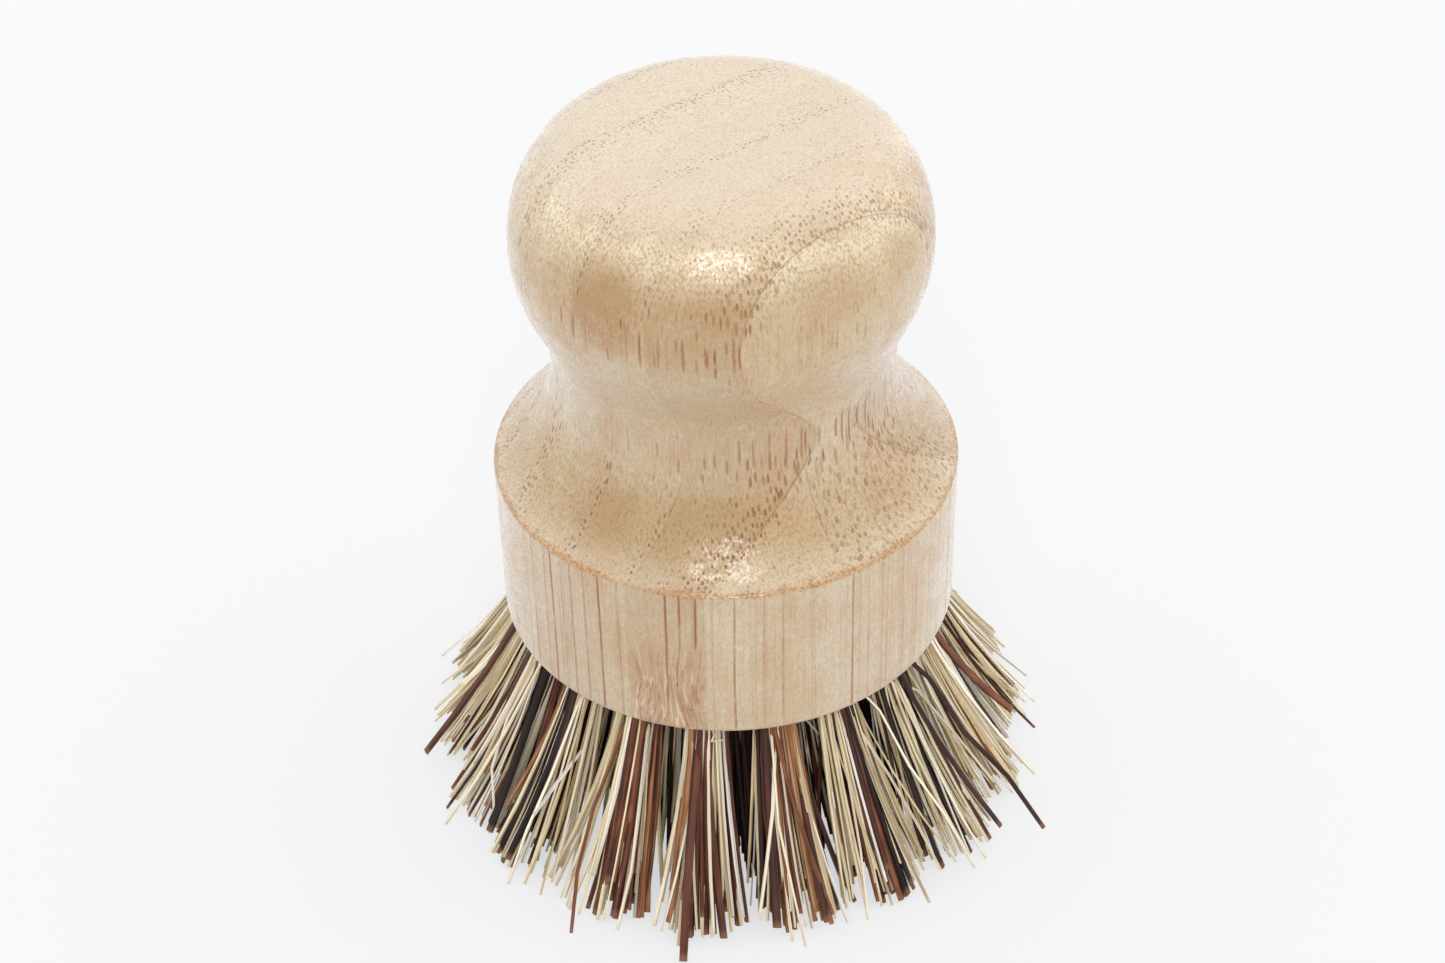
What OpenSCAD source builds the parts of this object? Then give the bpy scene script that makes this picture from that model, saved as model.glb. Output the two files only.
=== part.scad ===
// Pot scrubber: a turned bamboo handle, drilled underneath for tufts of stiff plant fibre.
// It stands on its bristles. The origin is on the axis, where the bristle tips meet the ground, and +Z is up.

/* [Head] */
// Diameter of the head
head_d = 56; // [54:1:62]
// Height of the straight band round the head
band_h = 21.3; // [19:0.1:26]
// Rounding of the band's bottom edge
bottom_round = 0.9; // [0.3:0.1:1.5]
// Rounding of the rim above the band
rim_round = 0.5; // [0.2:0.1:1]

/* [Grip] */
// Diameter of the waist, the narrowest place
waist_d = 40.6; // [38:0.2:44]
// Height of the waist above the rim
waist_up = 14.9; // [12:0.1:18]
// Diameter of the knob at its widest place
knob_d = 48.5; // [46:0.5:54]
// Height of the knob's widest place above the rim
knob_up = 30.8; // [27:0.1:34]
// Height of the knob's flat top above the rim
top_up = 44.2; // [40:0.1:50]
// Diameter of the flat on the knob's top
flat_d = 28; // [20:1:34]
// Share of the curve between waist and knob that is hollow
hollow_share = 0.45; // [0.35:0.01:0.6]

/* [Bores] */
// Diameter of each bore
bore_d = 5; // [4:0.1:5.4]
// Depth of each bore along its own axis
bore_depth = 11; // [8:0.5:12]
// Distance from one ring of bores to the next
ring_pitch = 7.5; // [7:0.1:7.8]
// Tilt of the outer ring's bores, which the inner rings share out
outer_tilt = 15; // [8:1:20]
// Turn of the outer ring's first bore about the axis
outer_turn = 2; // [0:1:19]

/* [Tufts] */
// Height of the head above the ground, which the bristles stand on
bristle_h = 25; // [18:1:27]
// Length of the strands below the head, before they are trimmed level
strand_len = 27.5; // [27:0.5:34]
// Lean of the outer tufts from upright, which the inner rings share out
outer_lean = 26; // [15:1:30]
// Gap round a tuft's root in its bore
root_gap = 0.05; // [0.03:0.01:0.15]
// Length of the tight root that shows below the head
root_out = 1.6; // [1.2:0.1:2.5]
// Gap between neighbouring tufts at their tips
tuft_gap = 1.6; // [0.5:0.1:4]
// Strands in each tuft
strands = 16; // [8:1:16]
// Width of a strand at its root
strand_w = 1.05; // [0.6:0.05:1.2]
// Thickness of a strand at its root
strand_t = 0.65; // [0.4:0.05:0.8]
// Most that a strand's tip is cut short of the others
ragged = 1.2; // [0:0.1:2.5]

/* [Anchors] */
// Thickness of the flat wire that holds a tuft
anchor_t = 0.4; // [0.3:0.05:0.6]
// Height of the anchor along the bore
anchor_h = 2.2; // [1.6:0.1:3]
// Depth to which each end of the anchor bites into the wood
anchor_bite = 0.4; // [0.2:0.05:0.6]
// Thickness of the fibres folded over the anchor
fold_h = 1.3; // [0.8:0.1:2]
// Gap round the anchor inside its tuft
anchor_gap = 0.05; // [0.03:0.01:0.1]

/* [Hidden] */
// Number of points on each curve of the handle's outline
arc_steps = 12;
// Number of sides of round pieces
round_fn = 96;
// How far a cutting shape reaches past the face that it cuts
over = 1;
// How far a strand starts inside its root
strand_in = 1;
// Share of its spread that a strand has at half its height, less than a half because strands curve outward
half_spread = 0.45;
// Size of a strand at half its height and at its tip, as shares of its root, because its fibres come apart
half_swell = 1.2;
tip_swell = 1.35;
// Angle from one strand to the next, as seeds lie in a sunflower, and the most that chance adds to it
golden_turn = 137.508;
stray_turn = 60;
// Numbers of the fixed random series: the first, and the step from ring to ring
seed = 40;
ring_seeds = 20;
// Of this many strands in a row, the first so many are straw and the others palm
colour_run = 5;
straw_run = 3;

wood = [0.86, 0.73, 0.55];
straw = [0.85, 0.79, 0.62];
palm = [0.36, 0.21, 0.14];
steel = [0.72, 0.72, 0.74];

head_r = head_d / 2;
waist_r = waist_d / 2;
knob_r = knob_d / 2;
flat_r = flat_d / 2;
root_r = bore_d / 2 - root_gap;

rim_z = bristle_h + band_h;
waist_z = rim_z + waist_up;
knob_z = rim_z + knob_up;
top_z = rim_z + top_up;

// The flare is one arc from the rim to the upright waist.
flare_in = head_r - waist_r;
flare_r = (pow(flare_in, 2) + pow(waist_up, 2)) / (2 * flare_in);
flare_angle = atan2(waist_up, flare_r - flare_in);

// Waist and knob are joined by two arcs that meet on a common tangent.
knob_out = knob_r - waist_r;
knob_rise = knob_up - waist_up;
curve_sum = (pow(knob_out, 2) + pow(knob_rise, 2)) / (2 * knob_out);
hollow_r = curve_sum * hollow_share;
cheek_r = curve_sum - hollow_r;
curve_turn = asin(knob_rise / curve_sum);

// The rim's rounding touches the band and the flare: how far it reaches along each, and as an angle of the flare.
rim_reach = rim_round * tan(flare_angle / 2);
rim_skip = rim_reach / flare_r * 180 / PI;

// The centre tuft has three rings round it, with 6, 12 and 18 tufts.
RING_NAMES = ["centre", "inner", "middle", "outer"];
LAST_RING = len(RING_NAMES) - 1;
function ring_count(ring) = max(1, 6 * ring);
function ring_r(ring) = ring_pitch * ring;
function ring_tilt(ring) = outer_tilt * ring / LAST_RING;
function foot_r(ring) = ring_r(ring) + bristle_h * tan(outer_lean * ring / LAST_RING);
function turn_of(ring, i) = outer_turn + 360 * i / ring_count(ring);
function two_digits(n) = str(n < 10 ? "0" : "", n);
function tuft_name(ring, i) =
    ring == 0 ? "centre_tuft" : str(RING_NAMES[ring], "_tuft_", two_digits(i + 1));
TUFTS = [for (ring = [0:LAST_RING]) for (i = [0:ring_count(ring) - 1]) [ring, i]];

// Neighbouring tufts share the ground evenly, so a tuft's footprint follows from the rings' spacing there.
tip_r = (foot_r(1) - tuft_gap) / 2;
strand_reach = norm([strand_w, strand_t]) / 2;

// Points on an arc about a centre, or on an ellipse if two radii are given
function arc(centre, radii, from, to) = [
    for (i = [0:arc_steps])
        let (a = from + (to - from) * i / arc_steps)
        centre + [radii[0] * cos(a), radii[1] * sin(a)]
];

// Half the handle's section, from the underside's middle round to the top's middle
function handle_outline() = concat(
    [[0, bristle_h]],
    arc([head_r - bottom_round, bristle_h + bottom_round], [bottom_round, bottom_round], -90, 0),
    arc([head_r - rim_round, rim_z - rim_reach], [rim_round, rim_round], 0, flare_angle),
    arc([waist_r + flare_r, waist_z], [flare_r, flare_r], 180 + flare_angle - rim_skip, 180),
    arc([waist_r + hollow_r, waist_z], [hollow_r, hollow_r], 180 - curve_turn / arc_steps, 180 - curve_turn),
    arc([knob_r - cheek_r, knob_z], [cheek_r, cheek_r], curve_turn / arc_steps - curve_turn, 0),
    arc([flat_r, knob_z], [knob_r - flat_r, top_z - knob_z], 90 / arc_steps, 90),
    [[0, top_z]]
);

// Places a child in a tuft's bore, with its own +Z running from the mouth into the wood
module in_bore(ring, i) {
    rotate([0, 0, turn_of(ring, i)])
        translate([ring_r(ring), 0, bristle_h])
            rotate([0, -ring_tilt(ring), 0]) children();
}

// The flat wire anchor, standing on edge across the bore, with an even gap added all round
module anchor_blank(gap = 0) {
    size = [anchor_t, bore_d + 2 * anchor_bite, anchor_h];
    translate([0, 0, bore_depth - fold_h - anchor_h / 2])
        cube(size + 2 * gap * [1, 1, 1], center = true);
}

module bore() {
    translate([0, 0, -over]) cylinder(d = bore_d, h = bore_depth + over, $fn = round_fn);
}

// One block of bamboo, turned in one piece and drilled from below
module handle() {
    color(wood) difference() {
        rotate_extrude($fn = round_fn) polygon(handle_outline());
        for (t = TUFTS) in_bore(t[0], t[1]) {
            bore();
            anchor_blank();
        }
    }
}

// The fibres packed in the bore and folded over the anchor
module tuft_root() {
    color(palm) difference() {
        translate([0, 0, -root_out]) cylinder(r = root_r, h = root_out + bore_depth, $fn = round_fn);
        anchor_blank(anchor_gap);
    }
}

// One flat strand through its stations, each a level section, with its size there as a share
module strand(stations, shares, turn) {
    corners = [[1, 1], [-1, 1], [-1, -1], [1, -1]];
    section = [
        for (c = corners)
            let (x = c[0] * strand_w / 2, y = c[1] * strand_t / 2)
            [x * cos(turn) - y * sin(turn), x * sin(turn) + y * cos(turn), 0]
    ];
    last = len(stations) - 1;
    points = [for (i = [0:last]) for (p = section) stations[i] + shares[i] * p];
    sides = [
        for (i = [0:last - 1]) for (j = [0:3])
            let (a = 4 * i + j, b = 4 * i + (j + 1) % 4)
            [a, b, b + 4, a + 4]
    ];
    faces = concat([[3, 2, 1, 0]], sides, [[for (j = [0:3]) 4 * last + j]]);
    polyhedron(points, faces);
}

// Strands fan out from the root to the ground, where they were cut level, and those that lean most end
// above it. The frame is the tuft's own: +X away from the handle's axis, with the ground at zero.
module fan(ring, i) {
    tilt = ring_tilt(ring);
    mouth = [ring_r(ring), 0, bristle_h];
    across = [cos(tilt), 0, sin(tilt)];
    inward = [-sin(tilt), 0, cos(tilt)];
    foot = [foot_r(ring), 0, 0];
    first_chance = seed + ring_seeds * ring + i;
    stray = rands(0, stray_turn, strands, first_chance);
    short = rands(-ragged, ragged, strands, first_chance + seed);
    turn = rands(0, 180, strands, first_chance + 2 * seed);
    for (k = [0:strands - 1]) {
        place = sqrt((k + 0.5) / strands);
        a = golden_turn * k + stray[k];
        root = mouth + (strand_in - root_out) * inward
            + place * (root_r - strand_reach) * (cos(a) * across + sin(a) * [0, 1, 0]);
        end = foot + place * (tip_r - tip_swell * strand_reach) * [cos(a), sin(a), 0];
        reach = norm([end[0] - root[0], end[1] - root[1]]);
        drop = sqrt(pow(strand_len, 2) - pow(reach, 2));
        cut = max(0, bristle_h - drop) + max(0, short[k]);
        bend = root + half_spread * (end - root);
        stations = [root, [bend[0], bend[1], (root[2] + cut) / 2], [end[0], end[1], cut]];
        color(k % colour_run < straw_run ? straw : palm)
            strand(stations, [1, half_swell, tip_swell], turn[k]);
    }
}

module tuft(ring, i) {
    in_bore(ring, i) tuft_root();
    rotate([0, 0, turn_of(ring, i)]) fan(ring, i);
}

module tuft_anchors() {
    color(steel) for (t = TUFTS) in_bore(t[0], t[1]) anchor_blank();
}

handle();
tuft_anchors();
for (t = TUFTS) {
    tuft(t[0], t[1]);
}
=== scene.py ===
# %% [markdown]
# # A bamboo pot scrubber
# The scrubber is a turned bamboo knob, drilled from below, with a tuft of stiff plant fibre folded into each
# bore. The engineering model gives every place and size, so it is loaded first and stays as it is. This lesson
# builds the looks around it: the turned wood with its glued layers, and the fibres, one by one.

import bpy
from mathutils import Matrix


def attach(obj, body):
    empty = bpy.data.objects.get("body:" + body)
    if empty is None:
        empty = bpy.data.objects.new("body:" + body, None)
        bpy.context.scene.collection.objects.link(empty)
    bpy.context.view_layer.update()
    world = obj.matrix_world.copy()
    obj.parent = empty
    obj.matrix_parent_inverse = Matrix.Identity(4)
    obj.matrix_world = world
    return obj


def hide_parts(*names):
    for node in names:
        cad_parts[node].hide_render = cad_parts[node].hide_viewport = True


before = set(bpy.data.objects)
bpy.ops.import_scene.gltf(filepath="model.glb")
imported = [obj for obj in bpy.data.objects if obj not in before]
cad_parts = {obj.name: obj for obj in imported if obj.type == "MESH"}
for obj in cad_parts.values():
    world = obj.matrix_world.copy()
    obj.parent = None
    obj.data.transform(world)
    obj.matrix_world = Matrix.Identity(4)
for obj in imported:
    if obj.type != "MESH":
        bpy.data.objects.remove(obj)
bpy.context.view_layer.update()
print("nodes in the frame:", len(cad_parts))

# %% Tools of the lesson
import math
from functools import reduce
from types import SimpleNamespace

import bpy
import numpy as np
from mathutils import Matrix, Vector

MM = 0.001


def start_clean():
    """Leaves edit mode and selects nothing, because the loaded nodes start selected."""
    if bpy.context.object and bpy.context.object.mode != "OBJECT":
        bpy.ops.object.mode_set(mode="OBJECT")
    bpy.ops.object.select_all(action="DESELECT")


def paint(r, g, b):
    """A colour as the eye names it, from 0 to 255, turned into the linear light that shaders use."""
    parts = [c / 255 for c in (r, g, b)]
    return (*[c / 12.92 if c <= 0.04045 else ((c + 0.055) / 1.055) ** 2.4 for c in parts], 1)


# %% [markdown]
# ## The sizes of the scrubber
# They repeat the named values of the part's source, in millimetres. Wood and fibres are built from the same
# numbers as the solids, so each new piece fills the place of the solid that it stands for.

# %% Sizes of the handle, in millimetres
head_r, band_low, rim_z = 28.0, 25.0, 46.3
bottom_round, rim_round = 0.9, 0.5
waist_r, waist_z = 20.3, 61.2
knob_r, knob_z = 24.25, 77.1
flat_r, top_z = 14.0, 90.5
hollow_share = 0.45

# %% Sizes of the bores and tufts, in millimetres
bore_r, bore_depth, ring_pitch = 2.5, 11.0, 7.5
outer_tilt, outer_lean, outer_turn = 15.0, 26.0, 2.0
anchor_t, anchor_h, anchor_bite, fold_h = 0.4, 2.2, 0.4, 1.3
RINGS = [("centre", 1), ("inner", 6), ("middle", 12), ("outer", 18)]
LAST_RING = len(RINGS) - 1
TUFTS = [(ring, i) for ring, (_, count) in enumerate(RINGS) for i in range(count)]


def tuft_node(ring, i):
    return "centre_tuft" if ring == 0 else f"{RINGS[ring][0]}_tuft_{i + 1:02d}"


def tuft_turn(ring, i):
    return math.radians(outer_turn + 360 * i / RINGS[ring][1])


def bore_place(ring, i):
    """The place of a bore, in millimetres: its mouth is the origin and its own +Z runs into the wood."""
    turn = Matrix.Rotation(tuft_turn(ring, i), 4, "Z")
    tilt = Matrix.Rotation(-math.radians(outer_tilt * ring / LAST_RING), 4, "Y")
    return turn @ Matrix.Translation((ring_pitch * ring, 0, band_low)) @ tilt


print("tufts:", len(TUFTS))

# %% [markdown]
# ## Camera
# The photograph looks down on the scrubber from the front with a long lens, and is rolled by about a degree.
# The numbers come from fitting a pinhole camera to the edges of the head's band.

# %% Camera of the photograph
camera = bpy.data.objects.new("camera", bpy.data.cameras.new("camera"))
bpy.context.scene.collection.objects.link(camera)
camera.data.lens, camera.data.sensor_width = 64.78, 36.0
camera.data.clip_start, camera.data.clip_end = 0.01, 20.0
target = Vector((-0.497, 0.0, 40.48)) * MM
elevation, roll, distance = math.radians(39.214), math.radians(-1.307), 317.55 * MM
back = Vector((0, -math.cos(elevation), math.sin(elevation)))
camera.location = target + back * distance
camera.rotation_mode = "QUATERNION"
look = back.to_track_quat("Z", "Y").to_matrix() @ Matrix.Rotation(roll, 3, "Z")
camera.rotation_quaternion = look.to_quaternion()
bpy.context.scene.camera = camera
print("camera at", [round(c, 4) for c in camera.location])

# %% [markdown]
# ## Helpers for node trees
# A finish is a tree of nodes. A few small helpers keep such a tree readable: they add a node and feed its
# inputs, do sums and lay one colour over another. They work in the tree that their feeds belong to.


# %% Nodes and what goes into them
def feed(node, feeds):
    """Gives a node's inputs sockets or plain values, in their order or by their names."""
    for key, value in feeds.items() if isinstance(feeds, dict) else enumerate(feeds):
        if isinstance(value, bpy.types.NodeSocket):
            node.id_data.links.new(value, node.inputs[key])
        else:
            node.inputs[key].default_value = value


def put(tree, kind, feeds=(), **settings):
    """Adds a node, sets it and feeds it."""
    node = tree.nodes.new("ShaderNode" + kind)
    for name, value in settings.items():
        setattr(node, name, value)
    feed(node, feeds)
    return node


def tree_of(*feeds):
    """The tree of nodes that the first socket among the feeds belongs to."""
    return next(value.id_data for value in feeds if isinstance(value, bpy.types.NodeSocket))


def new_finish(name):
    """A material with only its Principled shader and output left."""
    finish = bpy.data.materials.new(name)
    finish.use_nodes = True
    return finish, finish.node_tree, finish.node_tree.nodes["Principled BSDF"]


# %% Sums and soft steps
def calc(operation, *feeds, clamp=False):
    return put(tree_of(*feeds), "Math", feeds, operation=operation, use_clamp=clamp).outputs[0]


def chain(operation, feeds):
    """Works through any number of feeds, two at a time."""
    return reduce(lambda result, another: calc(operation, result, another), feeds)


def times(*feeds):
    return chain("MULTIPLY", feeds)


def plus(*feeds):
    return chain("ADD", feeds)


def rise(value, low, high, start=0.0, end=1.0):
    """A soft step: start below low, end above high."""
    feeds = value, low, high, start, end
    return put(value.id_data, "MapRange", feeds, interpolation_type="SMOOTHSTEP").outputs[0]


# %% Colours and parts
def dye(amount, under, over, way="MIX"):
    """Lays one colour over another, by an amount from 0 to 1. A Mix node keeps its colours in inputs 6 and 7."""
    tree, feeds = tree_of(amount, under, over), {0: amount, 6: under, 7: over}
    return put(tree, "Mix", feeds, data_type="RGBA", blend_type=way, clamp_factor=True).outputs[2]


def split(kind, whole):
    """The parts of a vector or a colour."""
    return put(whole.id_data, "Separate" + kind, (whole,)).outputs


# %% [markdown]
# ## Floor and light
# The scrubber stands on a seamless pale sheet in a light tent: bright from behind, from above and from the
# sides, most of all on the right. A softbox high in front lights the sheet too, and gives the glints on the
# varnish. The photograph was exposed until the sheet was nearly white, so for the camera alone part of the
# sheet's tone is a plain glow, which leaves only a faint shadow under the bristles.

# %% Floor
start_clean()
bpy.ops.mesh.primitive_grid_add(x_subdivisions=8, y_subdivisions=8, size=6, location=(0, 0, 0))
floor = bpy.context.object
floor.name = "floor"
floor_finish, tree, shader = new_finish("floor_paper")
seen = put(tree, "LightPath").outputs["Is Camera Ray"]
glow = 0.64
feed(shader, {
    "Base Color": dye(seen, paint(243, 243, 244), paint(148, 146, 143)),
    "Emission Color": paint(247, 249, 253),
    "Emission Strength": times(seen, glow),
    "Roughness": 0.9,
    "Specular IOR Level": 0.0,
})
floor.data.materials.append(floor_finish)
print("floor:", floor.dimensions[0], "m wide")


# %% Softbox
def soft_sun(name, azimuth, height, strength, softness):
    """A lamp at infinity. Azimuth 0 is the photograph's side and 90 is +X; height is above the horizon."""
    lamp = bpy.data.objects.new(name, bpy.data.lights.new(name, "SUN"))
    lamp.data.energy, lamp.data.angle = strength, math.radians(softness)
    a, h = math.radians(azimuth), math.radians(height)
    toward = Vector((math.sin(a) * math.cos(h), -math.cos(a) * math.cos(h), math.sin(h)))
    lamp.rotation_mode = "QUATERNION"
    lamp.rotation_quaternion = toward.to_track_quat("Z", "Y")
    bpy.context.scene.collection.objects.link(lamp)
    print(name, "points along", [round(-c, 2) for c in toward])


soft_sun("front_softbox", azimuth=-2, height=42, strength=1.2, softness=34)

# %% Light tent
most_behind, most_above, most_right, most_left, all_round = 0.62, 0.31, 0.56, 0.3, 0.2
world = bpy.data.worlds.new("tent")
bpy.context.scene.world = world
world.use_nodes = True
tree = world.node_tree
tree.nodes.clear()
seen = put(tree, "LightPath").outputs["Is Camera Ray"]
right, behind, above = split("XYZ", put(tree, "TexCoord").outputs["Generated"])
strength = plus(
    rise(behind, -0.75, 0.35, 0.0, most_behind),
    rise(above, 0.2, 0.85, 0.0, most_above),
    rise(right, 0.1, 0.9, 0.0, most_right),
    rise(right, -0.1, -0.9, 0.0, most_left),
    all_round,
)
tent = put(tree, "Background", (paint(252, 253, 255), strength)).outputs[0]
page = put(tree, "Background", (paint(247, 247, 248), 1.0)).outputs[0]
put(tree, "OutputWorld", (put(tree, "MixShader", (seen, tent, page)).outputs[0],))
bpy.context.scene.view_settings.view_transform = "Standard"
print("tent: brightest side", round(most_behind + most_above + most_right + all_round, 2))

# %% [markdown]
# ## The turned handle
# On the lathe, one profile makes the whole handle. The same is done here: the outline is drawn as a chain of
# vertices and spun round the axis. Its arcs follow the part's source, with more points, so that the varnish
# shows clean highlights.


# %% Outline of the handle, in millimetres
def arc(centre, radii, start, end, steps):
    """Points of an arc or of a piece of an ellipse, as radius and height."""
    return [
        (centre[0] + radii[0] * math.cos(a), centre[1] + radii[1] * math.sin(a))
        for a in np.radians(np.linspace(start, end, steps + 1))
    ]


flare_in, waist_up = head_r - waist_r, waist_z - rim_z
flare_r = (flare_in**2 + waist_up**2) / (2 * flare_in)
flare_angle = math.degrees(math.atan2(waist_up, flare_r - flare_in))
knob_out, knob_rise = knob_r - waist_r, knob_z - waist_z
curve_sum = (knob_out**2 + knob_rise**2) / (2 * knob_out)
hollow_r = curve_sum * hollow_share
cheek_r = curve_sum - hollow_r
curve_turn = math.degrees(math.asin(knob_rise / curve_sum))
rim_reach = rim_round * math.tan(math.radians(flare_angle / 2))
rim_skip = math.degrees(rim_reach / flare_r)

outline = (
    [(0, band_low), (8, band_low), (17, band_low), (24, band_low)]
    + arc((head_r - bottom_round, band_low + bottom_round), (bottom_round,) * 2, -90, 0, 8)
    + [(head_r, z) for z in np.linspace(29, 44, 4)]
    + arc((head_r - rim_round, rim_z - rim_reach), (rim_round,) * 2, 0, flare_angle, 6)
    + arc((waist_r + flare_r, waist_z), (flare_r,) * 2, 180 + flare_angle - rim_skip, 180, 20)
    + arc((waist_r + hollow_r, waist_z), (hollow_r,) * 2, 180, 180 - curve_turn, 14)[1:]
    + arc((knob_r - cheek_r, knob_z), (cheek_r,) * 2, -curve_turn, 0, 14)[1:]
    + arc((flat_r, knob_z), (knob_r - flat_r, top_z - knob_z), 0, 90, 24)[1:]
    + [(9, top_z), (4, top_z), (0, top_z)]
)
print("outline points:", len(outline))

# %% Draw the outline and spin it
weld = 0.01 * MM
start_clean()
bpy.ops.mesh.primitive_plane_add(size=1 * MM, location=(0, 0, outline[0][1] * MM))
handle = bpy.context.object
handle.name = "turned_handle"
bpy.ops.object.transform_apply(location=True)
bpy.ops.object.mode_set(mode="EDIT")
bpy.ops.mesh.select_all(action="SELECT")
bpy.ops.mesh.merge(type="CENTER")
for here, there in zip(outline, outline[1:]):
    step = (there[0] - here[0]) * MM, 0, (there[1] - here[1]) * MM
    bpy.ops.mesh.extrude_vertices_move(TRANSFORM_OT_translate={"value": step})
bpy.ops.mesh.select_all(action="SELECT")
bpy.ops.mesh.spin(steps=192, angle=2 * math.pi, center=(0, 0, 0), axis=(0, 0, 1))
bpy.ops.mesh.select_all(action="SELECT")
bpy.ops.mesh.remove_doubles(threshold=weld)
bpy.ops.mesh.normals_make_consistent(inside=False)
bpy.ops.object.mode_set(mode="OBJECT")
print("turned handle:", len(handle.data.vertices), "vertices")

# %% [markdown]
# ## The drilled bores
# A drill leaves one clean blind bore for each tuft, and the anchors bite a narrow slot into its wall. The drill
# is modelled once, with the small lead-in that it leaves at the mouth, and copied to all 37 places. Then one
# Boolean drills them all, and a second one cuts the slots.


# %% Copies at the bores, and the cut
def copies_at_bores(model, name):
    """One object that holds a copy of the model at each bore. The model itself is removed."""
    start_clean()
    for ring, i in TUFTS:
        copy = bpy.data.objects.new(name, model.data.copy())
        place = bore_place(ring, i)
        place.translation *= MM
        copy.data.transform(place)
        bpy.context.scene.collection.objects.link(copy)
        copy.select_set(True)
        bpy.context.view_layer.objects.active = copy
    bpy.ops.object.join()
    bpy.data.objects.remove(model)
    return bpy.context.object


def cut(piece, cutter):
    start_clean()
    bpy.context.view_layer.objects.active = piece
    piece.select_set(True)
    boolean = piece.modifiers.new("cut", "BOOLEAN")
    boolean.operation, boolean.solver, boolean.object = "DIFFERENCE", "EXACT", cutter
    bpy.ops.object.modifier_apply(modifier=boolean.name)
    bpy.data.objects.remove(cutter)


# %% Drill the bores
lead_in = 0.25
start_clean()
bpy.ops.mesh.primitive_cylinder_add(
    vertices=40, radius=bore_r * MM, depth=bore_depth * MM, location=(0, 0, bore_depth / 2 * MM)
)
drill = bpy.context.object
bpy.ops.object.transform_apply(location=True)
bpy.ops.object.mode_set(mode="EDIT")
bpy.ops.mesh.select_all(action="DESELECT")
bpy.ops.mesh.select_mode(type="FACE")
bpy.ops.object.mode_set(mode="OBJECT")
for face in drill.data.polygons:
    face.select = face.center.z < weld
bpy.ops.object.mode_set(mode="EDIT")
bpy.ops.transform.translate(value=(0, 0, lead_in * MM))
bpy.ops.mesh.extrude_region_move(TRANSFORM_OT_translate={"value": (0, 0, -2 * lead_in * MM)})
bpy.ops.transform.resize(value=(1 + 2 * lead_in / bore_r,) * 2 + (1,))
bpy.ops.mesh.extrude_region_move(TRANSFORM_OT_translate={"value": (0, 0, -1 * MM)})
bpy.ops.mesh.select_all(action="SELECT")
bpy.ops.mesh.normals_make_consistent(inside=False)
bpy.ops.object.mode_set(mode="OBJECT")
cut(handle, copies_at_bores(drill, "drills"))
print("with bores:", len(handle.data.vertices), "vertices")

# %% Cut the slots of the anchors
start_clean()
bpy.ops.mesh.primitive_cube_add(size=1, location=(0, 0, (bore_depth - fold_h - anchor_h / 2) * MM))
bpy.context.object.scale = anchor_t * MM, 2 * (bore_r + anchor_bite) * MM, anchor_h * MM
bpy.ops.object.transform_apply(location=True, scale=True)
cut(handle, copies_at_bores(bpy.context.object, "slots"))
bpy.ops.object.shade_smooth_by_angle(angle=math.radians(35))
print("with slots:", len(handle.data.vertices), "vertices")

# %% [markdown]
# ## Bamboo
# Laminated bamboo is glued up from strips that were cut from the wall of the culm. Each strip is crowded with
# dark fibre bundles on the side that was the culm's skin, and has few on the other. The bundles run along the
# handle. Where the lathe cuts across them, on the top, they are dots; on the slopes they are short dashes; on
# the upright band they are long thin lines. One solid pattern gives all three: the dots are drawn in the plane
# across the bundles, and nearly nothing changes along them.

# %% Where the layers are glued, in millimetres across the layers
layer_turn = 38.0
# Glue plane, how strongly its line shows, how crowded the bundles beside it are, on which side, and how fast
# they thin out
GLUE_LINES = [
    (-20.15, 0.0, 1.0, -1, 0.5),
    (-20.1, 0.55, 1.0, 1, 3.2),
    (-12.7, 0.3, 0.7, 1, 1.1),
    (-4.9, 0.25, 0.75, 1, 1.8),
    (1.3, 0.1, 0.3, -1, 1.2),
    (7.5, 0.3, 0.95, -1, 2.4),
    (15.0, 0.35, 0.8, 1, 2.0),
    (22.0, 0.35, 0.9, -1, 2.0),
]
# How dark each layer is, from below the first glue line up
LAYER_TONES = [0.35, 0.35, 0.95, 0.65, 0.6, 0.35, 0.35, 0.6, 0.4]
# The outermost strip is jointed end to end
butt_joint_u, butt_joint_shows = -4.5, 0.55
# How far from its plane a glue line starts to show, and where it is full
glue_width = 0.09, 0.02


# %% More sums
def larger(*feeds):
    return chain("MAXIMUM", feeds)


def minus(whole, part):
    return calc("SUBTRACT", whole, part)


def apart(value, place):
    """How far a value is from a place."""
    return calc("ABSOLUTE", minus(value, place))


def spared(mask, share):
    """What a mask leaves: 1 where it is empty, and 1 less the share where it is full."""
    return minus(1.0, times(mask, share))


# %% Vectors and noise
def vector(operation, *feeds, output="Vector"):
    return put(tree_of(*feeds), "VectorMath", feeds, operation=operation).outputs[output]


def stretched(spot, scale):
    """The same places, with a scale for each direction."""
    return put(spot.id_data, "Mapping", {"Vector": spot, "Scale": scale}).outputs[0]


def noise(spot, scale, detail, roughness=0.5, output="Fac"):
    """Cloudy noise, with a scale for each direction."""
    feeds = {"Vector": stretched(spot, scale), "Scale": 1.0, "Detail": detail, "Roughness": roughness}
    return put(spot.id_data, "TexNoise", feeds).outputs[output]


# %% The pattern's own coordinates, in millimetres: u along the layers, v across them, z along the handle
def bamboo_coordinates(tree):
    spot = put(tree, "TexCoord").outputs["Object"]
    turn = 0, 0, math.radians(-layer_turn)
    return put(tree, "Mapping", {"Vector": spot, "Rotation": turn, "Scale": (1 / MM,) * 3}).outputs[0]


def pushed(spot, scale, detail, amount):
    """Places pushed about by slow noise, each way by up to half of the amount."""
    colour = noise(spot, scale, detail, output="Color")
    push = vector("MULTIPLY", vector("SUBTRACT", colour, (0.5, 0.5, 0.5)), amount)
    return vector("ADD", spot, push)


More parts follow.
